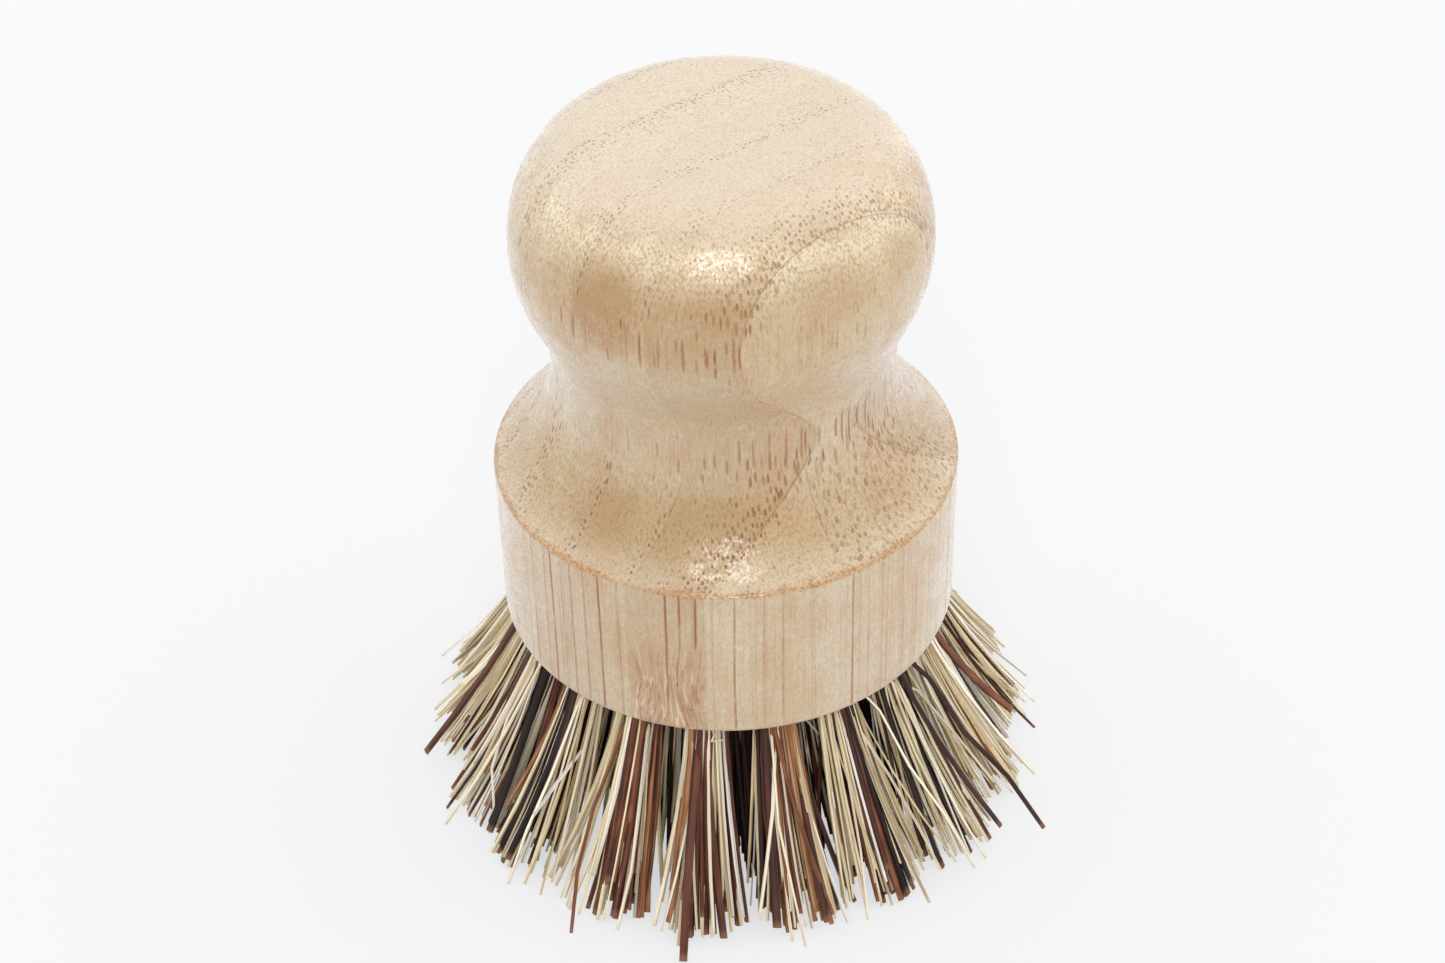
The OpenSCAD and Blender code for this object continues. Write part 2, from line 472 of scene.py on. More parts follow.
def drift(spot, amount):
    """Bundles wander slowly on their way along the handle."""
    return pushed(spot, (0.05, 0.05, 0.02), 2.0, (amount, amount, 0))


# %% The node of the culm in one layer, where its bundles bend and tangle
node_z, node_core, node_reach, tangle_most = 29.5, 2.0, 11.0, 3.4


def node_patch(v, z):
    """How much of a place lies in the node: it crosses one layer at one height."""
    in_layer = times(rise(v, -20.3, -19.6), rise(v, -12.2, -13.4))
    return times(in_layer, rise(apart(z, node_z), node_reach, node_core))


def tangle(spot, patch):
    """Pushes the bundles sideways in swirls, as far as the patch says."""
    return pushed(spot, (0.14, 0.14, 0.09), 1.5, times(patch, tangle_most))


# %% Layers: tone, crowding and glue lines
def layers(u, v, z):
    """How dark the layer is, how crowded its bundles are, how much glue shows, and where bundles are large."""
    tone, crowd, glue = LAYER_TONES[0], 0.08, 0.0
    for (place, shows, most, side, fade), below, above in zip(GLUE_LINES, LAYER_TONES, LAYER_TONES[1:]):
        past = rise(v, place - 0.05, place + 0.05)
        tone = plus(tone, times(past, above - below))
        away = times(minus(v, place), float(side))
        thin = calc("EXPONENT", times(away, -1.0 / fade))
        crowd = larger(crowd, times(thin, most, calc("GREATER_THAN", away, 0.0)))
        near = rise(calc("ABSOLUTE", away), *glue_width)
        glue = larger(glue, times(near, shows))
    outermost = times(rise(v, -20.05, -20.15), rise(z, 68.0, 60.0))
    speckled = times(outermost, calc("GREATER_THAN", u, butt_joint_u))
    joint = rise(apart(u, butt_joint_u), *glue_width)
    glue = larger(glue, times(joint, outermost, butt_joint_shows))
    return tone, crowd, glue, speckled


# %% Fibre bundles, cut across as dots
def bundles(spot, pitch, radius, presence):
    """Dots at a pitch and of a radius in millimetres, of which a share is present. Returns their darkness."""
    feeds = {"Vector": stretched(spot, (1 / pitch, 1 / pitch, 0)), "Scale": 1.0, "Randomness": 0.8}
    cells = put(spot.id_data, "TexVoronoi", feeds, voronoi_dimensions="2D").outputs
    chance, size, depth = split("Color", cells["Color"])
    present = calc("LESS_THAN", chance, presence)
    crowded = calc("MULTIPLY_ADD", presence, 0.35, times(size, 0.45))
    inside = minus(times(plus(crowded, 0.6), radius / pitch), cells["Distance"])
    dot = rise(inside, -0.35 * radius / pitch, 0.25 * radius / pitch)
    return times(dot, present, plus(times(depth, 0.5), 0.5))


# %% [markdown]
# The lathe has just bared a few long bundles on the band. They are the strongest lines of the photograph, so
# they are placed by their angle round the band, and then run the band's whole height. The shorter ones on the
# knob and above the flare are placed the same way, by angle and height.

# %% Long lines on the band: angle from the front in degrees, and strength
BAND_LINES = [
    (-68, 0.4), (-62, 0.4), (-58, 0.3), (-55, 0.5), (-50, 0.4), (-47.5, 0.8), (-44, 0.3), (-41, 0.5),
    (-37, 0.4), (-32.7, 1.0), (-27.5, 0.4), (-15.1, 0.8), (-11.7, 0.75), (-7.9, 1.0), (1.0, 0.7), (8, 0.3),
    (12.4, 0.6), (19, 0.2), (30.2, 0.7), (35, 0.3), (41, 0.3), (47, 0.3), (52, 0.4), (63, 0.4),
]
# The far side isn't seen in the photograph, so its lines are drawn by lot
far = np.random.default_rng(12)
BAND_LINES += [(float(a + far.uniform(-4, 4)), float(far.uniform(0.15, 0.7))) for a in range(73, 290, 9)]
band_z, band_contrast = 40.0, 1.25
print("lines on the band:", len(BAND_LINES))

# %% Dashes on the knob and above the flare: angle from the front in degrees, height, and strength
DASHES = [
    (-26.9, 79.8, 0.9), (-31.1, 75.3, 0.7), (-46.4, 78.1, 0.7), (-17.9, 76.3, 0.5), (-12.2, 78.3, 0.6),
    (-7.1, 75.8, 0.5), (-4.3, 76.7, 0.9), (-2.4, 77.2, 1.0), (-2.3, 75.0, 0.9), (0.6, 78.4, 0.7),
    (1.2, 73.6, 0.5), (29.9, 76.1, 0.6), (36.3, 77.2, 0.6), (39.2, 76.2, 0.5), (-22.0, 60.5, 0.5),
    (-6.9, 59.4, 0.7), (-3.8, 59.7, 0.6), (0.0, 59.0, 0.7), (6.5, 59.2, 0.9), (8.5, 59.6, 0.6),
    (11.0, 59.5, 0.5), (15.4, 59.2, 0.6), (18.6, 59.0, 0.8), (22.5, 59.6, 0.9), (22.8, 58.2, 0.8),
    (25.5, 59.9, 0.5),
]


# %% Draw a bundle that lies bare
def handle_radius(z):
    """Radius of the handle's outside at a height on or above the band, in millimetres."""
    side = outline[outline.index((head_r, 29.0)):]
    return float(np.interp(z, [point[1] for point in side], [point[0] for point in side]))


def bundle_mark(spot, degrees, z, flatten, strength):
    """A bundle at an angle from the front and a height. Flattened places stretch it along the handle."""
    a = math.radians(degrees - 90 - layer_turn)
    r = handle_radius(z)
    away = vector("DISTANCE", spot, (r * math.cos(a), r * math.sin(a), z * flatten), output="Value")
    return times(rise(away, 0.21, 0.07), strength)


def band_lines(spot):
    level_spot = vector("MULTIPLY", spot, (1, 1, 0))
    marks = [bundle_mark(level_spot, a, band_z, 0.0, min(1.0, band_contrast * shown)) for a, shown in BAND_LINES]
    broken = noise(spot, (0.4, 0.4, 0.22), 3.0)
    return times(larger(*marks), rise(broken, 0.3, 0.55, 0.35, 1.0))


def dashes(spot):
    flatten = 0.13
    flat = vector("MULTIPLY", spot, (1, 1, flatten))
    return larger(*[bundle_mark(flat, a, z, flatten, strength) for a, z, strength in DASHES])


# %% Golden spots, where the cut wood drank more varnish: place in the pattern's millimetres, reach and amount
GOLDEN_SPOTS = [
    ((-22.5, -6.0, 51.0), 5.0, 0.55),
    ((-21.5, -7.5, 81.5), 6.0, 0.75),
    ((-22.3, -8.0, 79.5), 5.0, 0.75),
    ((-15.2, -18.1, 81.0), 4.0, 0.3),
    ((-3.0, -22.0, 82.0), 5.0, 0.35),
    ((4.0, -23.0, 51.0), 3.5, 0.3),
    ((21.0, 8.0, 83.0), 5.0, 0.45),
    ((-12.0, 19.0, 50.0), 5.0, 0.4),
]


# %% What all steps of the finish share
def bamboo_basis(tree):
    """Places, layers, noises, and how much the surface faces up: upward is 0 on the sides and 1 on the top."""
    at = SimpleNamespace(spot=bamboo_coordinates(tree))
    at.u, at.v, at.z = split("XYZ", at.spot)
    at.patch = node_patch(at.v, at.z)
    at.wavy = tangle(drift(at.spot, 1.2), at.patch)
    at.tone, at.crowd, at.glue, at.speckled = layers(at.u, at.v, at.z)
    facing = split("XYZ", put(tree, "NewGeometry").outputs["True Normal"])[2]
    at.upward = larger(facing, 0.0)
    at.overhang = rise(facing, -0.02, -0.2)
    at.level = rise(at.upward, 0.6, 0.95)
    at.streak = noise(at.wavy, (4.5, 4.5, 0.06), 4.0, 0.7)
    at.cloud = noise(at.spot, (0.11, 0.18, 0.09), 4.0)
    at.fine = noise(at.wavy, (3.4, 3.4, 1.5), 3.0, 0.65)
    return at


# %% Dots, dashes and lines together
def bundle_marks(at):
    """Small, faint and large dots where the bundles are cut across, the band's lines, and the dashes."""
    small = bundles(at.wavy, 0.57, 0.13, at.crowd)
    faint = bundles(at.wavy, 0.5, 0.11, 0.6)
    large = bundles(at.wavy, 0.95, 0.19, times(at.speckled, 0.85))
    small = times(small, rise(at.crowd, 0.0, 0.6, 0.45, 1.0))
    dots = larger(times(faint, 0.26), times(large, 0.65), small)
    on_band = times(rise(at.upward, 0.3, 0.1), rise(at.z, rim_z + 0.7, rim_z - 0.3))
    dots = times(dots, spared(on_band, 0.6))
    dots = larger(dots, times(band_lines(at.wavy), on_band))
    dots = times(dots, spared(at.overhang, 0.75), rise(at.z, 79.0, 84.0, 1.0, 0.75))
    return larger(dots, dashes(drift(at.spot, 0.5)))


# %% [markdown]
# ### Colour of the wood
# The sides are pale, and the slopes, which drank more varnish, are golden. The flat top is cream: partly its own
# colour, partly a painted light where it faces up. The knob's upward faces get a paler gold, a painted light
# that the flare below, in the knob's shade, does not get. Fine grain, glue lines and bundles lie over that. Each
# paint comes in two tones, for the pale and the dark layers.


# %% Where the varnish soaked in
def soaked_wood(at):
    """The flare, and a belt round the knob's shoulder, both with cloudy edges and clear of the band."""
    flare = rise(plus(at.z, times(at.cloud, 6.0)), 62.0, 55.0)
    height = plus(at.z, times(minus(at.cloud, 0.5), 14.0))
    belt = times(rise(height, 71.0, 78.0), rise(height, 92.0, 86.0, 0.4, 1.0))
    return times(larger(flare, belt), rise(at.z, rim_z - 0.1, rim_z + 0.2))


def plain_wood(at):
    """The wood's tones, with painted light on the flat top and on the knob's upward faces, and cloudy blots and
    golden spots.
    """
    sides = dye(at.tone, paint(214, 200, 174), paint(191, 170, 138))
    golden = dye(at.tone, paint(208, 188, 150), paint(184, 157, 115))
    gold_with_painted_light = dye(at.tone, paint(244, 232, 204), paint(236, 217, 183))
    cream_with_painted_light = dye(at.tone, paint(231, 216, 191), paint(222, 203, 176))
    # Painted light: the knob's faces that look up take a paler gold than the flare, because the top light falls
    # on them
    knob_faces_light = times(rise(at.upward, 0.2, 0.7), rise(at.z, 64.0, 74.0))
    wood = dye(soaked_wood(at), sides, dye(knob_faces_light, golden, gold_with_painted_light))
    # Partly painted light: the level top is cream, its own colour made lighter where it faces up
    wood = dye(at.level, wood, cream_with_painted_light)
    blot = times(rise(at.cloud, 0.42, 0.7, 0.0, 0.55), minus(1.0, at.level))
    wood = dye(blot, wood, paint(196, 161, 117))
    for place, reach, amount in GOLDEN_SPOTS:
        away = vector("DISTANCE", at.spot, place, output="Value")
        ragged = plus(away, times(at.cloud, reach))
        here = rise(ragged, 1.6 * reach, 0.7 * reach, 0.0, amount)
        wood = dye(here, wood, paint(176, 138, 92))
    return wood


# %% Grain, meal, glue and bundles over the wood
def marked_wood(at, wood, dots):
    """Streaky grain, a fine mealy speckle, glue lines and bundles."""
    grain = times(rise(at.streak, 0.58, 0.36), rise(at.upward, 0.9, 0.3, 0.12, 0.42))
    grain = times(grain, rise(at.cloud, 0.35, 0.6, 0.35, 1.0))
    wood = dye(grain, wood, paint(180, 140, 102))
    meal = times(rise(at.fine, 0.56, 0.36), rise(at.upward, 0.1, 0.5, 0.32, 0.68))
    wood = dye(meal, wood, dye(at.level, paint(174, 136, 90), paint(208, 182, 151)))
    on_slope = times(rise(at.upward, 0.95, 0.6, 0.5, 1.0), rise(at.upward, 0.0, 0.3, 0.45, 1.0))
    glue = times(at.glue, on_slope, rise(at.streak, 0.3, 0.6, 0.5, 1.0))
    wood = dye(glue, wood, paint(140, 92, 62))
    dot_paint = dye(rise(at.upward, 0.05, 0.5), paint(156, 88, 46), paint(138, 90, 48))
    dot_paint = dye(at.level, dot_paint, paint(128, 100, 82))
    return dye(times(dots, 0.9), wood, dot_paint)


# %% The tangled node, with its flecks and specks
def node_marks(at, wood):
    """The node's warmer tone, its dark and pale flecks, and a few round specks."""
    wood = dye(times(at.patch, 0.5), wood, paint(180, 142, 106))
    fleck = noise(at.wavy, (2.8, 2.8, 0.2), 3.0)
    for start, full, amount, colour in ((0.47, 0.39, 0.75, (160, 112, 78)), (0.56, 0.64, 0.6, (230, 210, 178))):
        wood = dye(times(rise(fleck, start, full, 0.0, amount), at.patch), wood, paint(*colour))
    feeds = {"Vector": stretched(at.spot, (1.1, 1.1, 0.9)), "Scale": 1.0}
    specks = put(at.spot.id_data, "TexVoronoi", feeds).outputs
    chance = split("Color", specks["Color"])[0]
    speck = times(rise(specks["Distance"], 0.24, 0.12), calc("LESS_THAN", chance, 0.12))
    return dye(times(speck, at.patch, 0.7), wood, paint(126, 88, 60))


# %% The worn rim above the band
def worn_rim(at, wood):
    """The edge's wood frayed and darkened, more in some places than in others."""
    slow = noise(at.spot, (0.2,) * 3, 2.0)
    rough = noise(at.spot, (2.8,) * 3, 4.0, 0.7)
    radius = vector("LENGTH", vector("MULTIPLY", at.spot, (1, 1, 0)), output="Value")
    worn = times(minus(rough, 0.32), rise(slow, 0.35, 0.65, 0.5, 2.2))
    past_wear = minus(apart(at.z, rim_z + 0.15), worn)
    rim = times(rise(past_wear, 0.15, -0.35), rise(radius, 26.2, 27.0), 0.9)
    rim_paint = dye(rise(rough, 0.45, 0.6), paint(203, 160, 110), paint(172, 122, 75))
    return dye(rim, wood, rim_paint)


# %% [markdown]
# ### Varnish
# The film is thin. It broke over the pores and lies in pools, so a glint on it sparkles. That is the coat's
# weight; under it the wood is rough, with dots that are sunk a little, and stray fibres whiten its edges.


# %% The film of varnish
def varnish(at, dots):
    """How thick the film is: broken over pores and dots, and full in the pools."""
    pores = rise(noise(at.wavy, (3.2, 3.2, 2.2), 3.0, 0.7), 0.48, 0.56, 0.15, 1.0)
    pools = rise(noise(at.spot, (0.5, 0.5, 0.6), 4.0, 0.65), 0.42, 0.56, 0.25, 1.0)
    return times(pores, pools, spared(dots, 0.8))


# %% Put the bamboo together
def bamboo_finish():
    finish, tree, shader = new_finish("laminated_bamboo")
    at = bamboo_basis(tree)
    dots = bundle_marks(at)
    wood = marked_wood(at, plain_wood(at), dots)
    relief = plus(times(at.fine, 0.7), times(at.streak, 0.4), times(dots, -0.8))
    bump = {"Strength": 0.7, "Distance": 0.17 * MM, "Height": relief}
    feed(shader, {
        "Base Color": worn_rim(at, node_marks(at, wood)),
        "Roughness": plus(times(at.fine, 0.2), times(dots, 0.15), 0.2),
        "Normal": put(tree, "Bump", bump).outputs[0],
        "Coat Weight": varnish(at, dots),
        "Specular IOR Level": 0.35,
        "Coat Roughness": 0.13,
        "Coat IOR": 1.85,
        "Sheen Weight": 0.4,
        "Sheen Roughness": 0.35,
    })
    print("bamboo:", len(tree.nodes), "nodes")
    return finish


handle.data.materials.clear()
handle.data.materials.append(bamboo_finish())
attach(handle, "root")
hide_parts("handle")

# %% [markdown]
# ## The anchors
# Each tuft is held by a short piece of flat steel wire, driven into the bore across the fold. The anchors are
# sealed in the wood, so the solids stay and only get the finish of drawn wire, with fine lines along it.

# %% Anchor wire
wire_finish, tree, shader = new_finish("drawn_wire")
lines = noise(put(tree, "TexCoord").outputs["Object"], (2500, 2500, 9000), 3.0)
feed(shader, {
    "Base Color": dye(lines, paint(176, 176, 180), paint(206, 206, 210)),
    "Roughness": rise(lines, 0.2, 0.8, 0.25, 0.45),
    "Metallic": 1.0,
})
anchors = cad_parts["tuft_anchors"]
anchors.data.materials.clear()
anchors.data.materials.append(wire_finish)
print("anchors:", len(anchors.data.polygons), "faces")

# %% [markdown]
# ## One fibre of each kind
# The tufts mix two fibres: flat palm strips, dark and about a millimetre wide, and round pale agave threads.
# Each is modelled once as a straight rod, extruded ring by ring, and later bent along its own path. A fibre is
# folded in half over the anchor, so a rod has thirteen rings: five from one cut end up to the bore's mouth,
# three round the fold, and five down to the other end.

# %% Straight rods
STATIONS = 13


def straight_rod(name, sides):
    """A rod of unit width whose rings lie at heights 0 to 12."""
    start_clean()
    bpy.ops.mesh.primitive_circle_add(vertices=sides, radius=0.5, fill_type="NGON", location=(0, 0, 0))
    rod = bpy.context.object
    rod.name = name
    bpy.ops.object.mode_set(mode="EDIT")
    bpy.ops.mesh.select_all(action="SELECT")
    for _ in range(STATIONS - 1):
        bpy.ops.mesh.extrude_region_move(TRANSFORM_OT_translate={"value": (0, 0, 1)})
    bpy.ops.mesh.select_all(action="SELECT")
    bpy.ops.mesh.normals_make_consistent(inside=False)
    bpy.ops.object.mode_set(mode="OBJECT")
    bpy.ops.object.shade_smooth_by_angle(angle=math.radians(80))
    return rod


palm_rod = straight_rod("palm_rod", 6)
thread_rod = straight_rod("thread_rod", 4)
for rod in (palm_rod, thread_rod):
    print(rod.name, len(rod.data.vertices), "vertices", len(rod.data.polygons), "faces")

# %% [markdown]
# ### Maps on the fibres
# Two maps are laid on each fibre. One follows the fibre, round it and along it, for streaks. The other gives
# each fibre its own strip of one image, so that the finish can be stored as a picture without overlaps.


# %% Round and along, for every corner of a rod's faces
def rod_map(rod):
    """How far round and along the rod each face corner is, from 0 to 1, and which corners belong to an end."""
    round_along, is_end = [], []
    for face in rod.data.polygons:
        end = abs(face.normal.z) > 0.9
        middle = math.atan2(face.center.y, face.center.x)
        for k in face.vertices:
            x, y, z = rod.data.vertices[k].co
            turn = (math.atan2(y, x) - middle + math.pi) % (2 * math.pi) - math.pi
            place = (middle % (2 * math.pi) + turn) / (2 * math.pi)
            round_along.append((x + 0.5, 0.5 * y + 0.5) if end else (place, z / (STATIONS - 1)))
            is_end.append((2 if z > 1 else 1) if end else 0)
    return np.array(round_along), np.array(is_end)


# %% [markdown]
# ## What each tuft is made of
# No two tufts are alike. The palm strips keep together on one side of a tuft, because both were taken from one
# bundle, and their brown changes from strip to strip. The front tufts follow the photograph; the others are
# drawn by lot, with a fixed seed.

# %% Mix of the outer tufts that show: share of palm, its side from -1 to 1, and its tone, umber 0 to orange 1
SHOWN_MIX = {
    9: (0.35, -0.2, 0.5), 10: (0.45, 0.3, 0.35), 11: (0.75, -0.3, 0.25), 12: (0.9, 0.0, 0.58),
    13: (1.0, -0.2, 0.52), 14: (1.05, 0.2, 0.48), 15: (0.65, 0.3, 0.2), 16: (0.5, -0.2, 0.3),
    17: (0.25, 0.1, 0.45), 0: (0.15, 0.0, 0.5), 8: (0.1, 0.0, 0.5), 1: (0.15, 0.0, 0.5),
}


def tuft_mix(ring, i, chance):
    """The inner tufts only show as dark depth between the outer ones. They hold more palm, and darker palm,
    which paints shade into that depth.
    """
    # Inner rings: more and darker palm, a painted shade between the outer tufts
    shares, tones = ((0.4, 0.85), (0.15, 0.6)) if ring == LAST_RING else ((0.6, 0.95), (0.0, 0.35))
    share, tone, side = chance.uniform(*shares), chance.uniform(*tones), chance.uniform(-0.5, 0.5)
    drawn = share, side, tone
    return SHOWN_MIX.get(i, drawn) if ring == LAST_RING else drawn


# %% Fibres of the outer tufts that are out of line: tuft, tone, width, and four points from the tip up
LOOSE = {
    "palm": [
        (16, 0.15, 0.65, (38.1, -25.4, 5.0), (33.7, -21.8, 10.5), (28.3, -18.9, 15.6), (24.3, -14.7, 20.6)),
        (0, 0.4, 0.6, (39.2, -5.3, 2.5), (34.7, -4.9, 8.1), (30.4, -3.6, 13.8), (26.4, -1.4, 19.4)),
        (10, 0.05, 0.55, (-36.5, -15.3, 0.4), (-32.4, -14.4, 6.6), (-28.5, -12.8, 12.8), (-24.7, -10.6, 18.9)),
        (12, 0.65, 0.5, (-20.0, -37.1, 1.0), (-19.0, -32.9, 7.4), (-16.9, -28.5, 13.6), (-13.9, -24.2, 19.4)),
        (13, 0.4, 1.2, (-6.5, -41.4, 0.4), (-5.9, -37.1, 7.0), (-5.2, -32.5, 13.3), (-4.4, -27.5, 19.3)),
    ],
    "thread": [
        (15, 0.8, 0.5, (32.6, -18.4, 6.0), (27.9, -15.8, 11.7), (23.0, -13.2, 17.2), (17.5, -14.9, 21.5)),
        (10, 0.9, 0.35, (-30.0, -20.1, 3.0), (-30.1, -16.8, 8.9), (-27.9, -13.8, 14.6), (-24.5, -11.0, 19.9)),
        (11, 1.0, 0.5, (-24.4, -26.1, 10.0), (-21.3, -23.2, 13.0), (-18.1, -20.0, 15.4), (-16.8, -16.5, 20.0)),
        (14, 0.7, 0.4, (8.1, -42.3, 3.5), (6.6, -37.8, 9.3), (5.2, -33.0, 14.9), (4.8, -27.6, 20.0)),
        (14, 0.8, 0.45, (2.7, -37.5, 3.0), (3.7, -34.2, 8.8), (4.6, -30.5, 14.5), (5.0, -26.4, 19.9)),
        (14, 0.95, 0.3, (12.2, -27.5, 11.5), (11.6, -24.4, 14.5), (10.9, -20.5, 16.5), (8.2, -19.5, 20.0)),
        (13, 0.8, 0.3, (-1.1, -25.5, 21.5), (-2.5, -26.4, 22.3), (-2.2, -26.3, 23.1), (-2.7, -24.3, 24.1)),
        (16, 0.8, 0.5, (31.0, -27.0, 1.5), (27.4, -24.5, 7.6), (24.2, -21.3, 13.6), (21.0, -17.7, 19.5)),
        (15, 0.6, 0.45, (25.2, -29.1, 2.0), (22.2, -26.8, 8.0), (18.9, -24.5, 13.9), (15.3, -22.1, 19.5)),
        (14, 0.7, 0.4, (15.8, -37.0, 2.0), (15.1, -31.7, 8.5), (13.9, -26.0, 14.6), (11.6, -21.3, 20.2)),
        (15, 0.75, 0.4, (29.4, -29.0, 2.0), (25.8, -26.0, 8.2), (21.4, -23.3, 14.2), (17.9, -19.5, 20.0)),
        (10, 0.7, 0.4, (-36.1, -20.6, 3.0), (-31.9, -18.5, 8.7), (-28.0, -15.7, 14.3), (-24.4, -12.1, 19.7)),
        (11, 0.8, 0.45, (-27.9, -29.9, 2.0), (-25.3, -26.6, 8.1), (-22.2, -23.3, 13.9), (-19.4, -19.3, 19.5)),
        (13, 0.6, 0.5, (-4.8, -38.0, 2.0), (-5.0, -34.5, 8.1), (-4.9, -30.6, 14.0), (-4.8, -26.4, 19.6)),
        (12, 0.85, 0.45, (-14.4, -37.7, 2.0), (-12.5, -33.9, 8.1), (-11.4, -29.6, 14.0), (-10.4, -25.0, 19.7)),
    ],
}


def put_loose(ring, i, kind, paths, tones, width):
    """Gives the first fibres of this kind the places, tones and widths of the tuft's loose ones."""
    mouth = np.array(bore_place(ring, i).translation)
    own = [fibre[1:] for fibre in LOOSE[kind] if ring == LAST_RING and fibre[0] == i]
    for k, (tone, wide, *points) in enumerate(own):
        a, b = np.array(points[2]), np.array(points[3])
        straight_on = b + (b - a) * (mouth[2] - b[2]) / (b[2] - a[2]) - mouth
        straight_on *= min(1, (bore_r - 0.5) / max(np.linalg.norm(straight_on), 0.01))
        paths[k, :5] = [*points, mouth + straight_on]
        tones[k], width[k] = tone, wide


# %% [markdown]
# ### Paths of the fibres
# A fibre was about 28 mm long on each side when it was trimmed, and a quarter are shorter. Each leg leaves the
# bore along it, bends outward, and ends where its tuft stands on the ground; one in five strays.

# %% How fibres part and vary, in millimetres
leg_length, length_varies = 28.0, 0.7
short_share, short_by = 0.25, (1, 6)
stray_share, stray_reach = 0.2, 2.4
bow = 0.4
# A leg's first half follows the bore and the way to its tip, in these shares
bore_way, tip_way = 0.45, 0.55
LEG_STATIONS = np.array([1, 0.75, 0.5, 0.25, 0])[None, :, None]


# %% The two legs and the fold of each fibre
def in_bore(place, x, y, depth):
    """Points in a bore's own frame, brought to the handle's."""
    return (np.column_stack([x, y, depth, np.ones(len(x))]) @ np.array(place).T)[:, :3]


def leg_paths(ring, i, side, out, across, chance, spread, loose):
    """Five points for each leg, from its tip up to the bore's mouth."""
    place, count = bore_place(ring, i), len(across)
    foot = ring_pitch * ring + band_low * math.tan(math.radians(outer_lean * ring / LAST_RING))
    just_below = -0.2
    mouth = in_bore(place, side * out, across, np.full(count, just_below))
    wide = np.column_stack([side * out, across]) / bore_r * spread
    wide += chance.normal(0, loose, (count, 2))
    stray = chance.random(count) < stray_share
    wide += stray[:, None] * chance.normal(0, stray_reach, (count, 2))
    turned = np.array(Matrix.Rotation(tuft_turn(ring, i), 3, "Z"))
    span = np.column_stack([foot + wide[:, 0], wide[:, 1], np.zeros(count)]) @ turned.T - mouth
    reach = np.linalg.norm(span, axis=1)
    length = leg_length + chance.normal(0, length_varies, count)
    length -= (chance.random(count) < short_share) * chance.uniform(*short_by, count)
    tip = mouth + span * np.minimum(1, length / reach)[:, None]
    way = -bore_way * np.array(place.to_3x3().col[2]) + tip_way * span / reach[:, None]
    bowed = chance.normal(0, bow, (count, 3)) * [1, 1, 0.3]
    control = mouth + 0.5 * np.minimum(reach, length)[:, None] * way + bowed
    t = LEG_STATIONS
    return (1 - t) ** 2 * mouth[:, None] + 2 * t * (1 - t) * control[:, None] + t**2 * tip[:, None]


def fold_paths(ring, i, across, out_a, out_b, chance, spread, loose):
    """Thirteen points for each fibre. across is its place along the anchor; out_a and out_b are how far its two
    legs stand from the anchor, on both its sides. loose is how far its tips part from the others."""
    place, count = bore_place(ring, i), len(across)
    legs = [
        leg_paths(ring, i, side, out, across, chance, spread, loose) for side, out in ((1, out_a), (-1, out_b))
    ]
    clear, held = 0.45, np.full(count, bore_depth - fold_h - 0.3)
    fold = [
        in_bore(place, np.maximum(out_a * 0.8, clear), across * 0.9, held),
        in_bore(place, np.zeros(count), across * 0.85, held + 0.55 + 0.3 * (out_a + out_b) / 2),
        in_bore(place, -np.maximum(out_b * 0.8, clear), across * 0.9, held),
    ]
    return np.concatenate([legs[0], np.stack(fold, axis=1), legs[1][:, ::-1]], axis=1)


# %% Bend rods along paths
def bend_rods(sections, paths, tangential, width, thick, twist):
    """The places of all vertices: each rod's rings are laid square to its path, in millimetres."""
    way = np.gradient(paths, axis=1)
    way /= np.linalg.norm(way, axis=2, keepdims=True)
    flat = tangential - (way @ tangential)[:, :, None] * way
    flat /= np.linalg.norm(flat, axis=2, keepdims=True)
    deep = np.cross(way, flat)
    twisted = np.array([1, 1, 1, 1, 1, 0.5, 0, 0.5, 1, 1, 1, 1, 1])
    angle = twist[:, None] * twisted
    c, s = np.cos(angle)[:, :, None], np.sin(angle)[:, :, None]
    wide, narrow = c * flat + s * deep, c * deep - s * flat
    ring = np.rint(sections[:, 2]).astype(int)
    taper = np.array([0.92, 1, 1, 1, 0.95, 0.9, 0.9, 0.9, 0.95, 1, 1, 1, 0.92])[ring]
    x, y = (sections[:, :2] * taper[:, None]).T[:, None, :, None]
    sideways = x * width[:, None, None] * wide[:, ring]
    return paths[:, ring] + sideways + y * thick[:, None, None] * narrow[:, ring]


# %% [markdown]
# ### From one rod to a tuft
# An Array modifier repeats the rod, and then every copy's vertices are moved onto its own path. Each fibre also
# gets a tone and a chance number as attributes, which its finish reads.


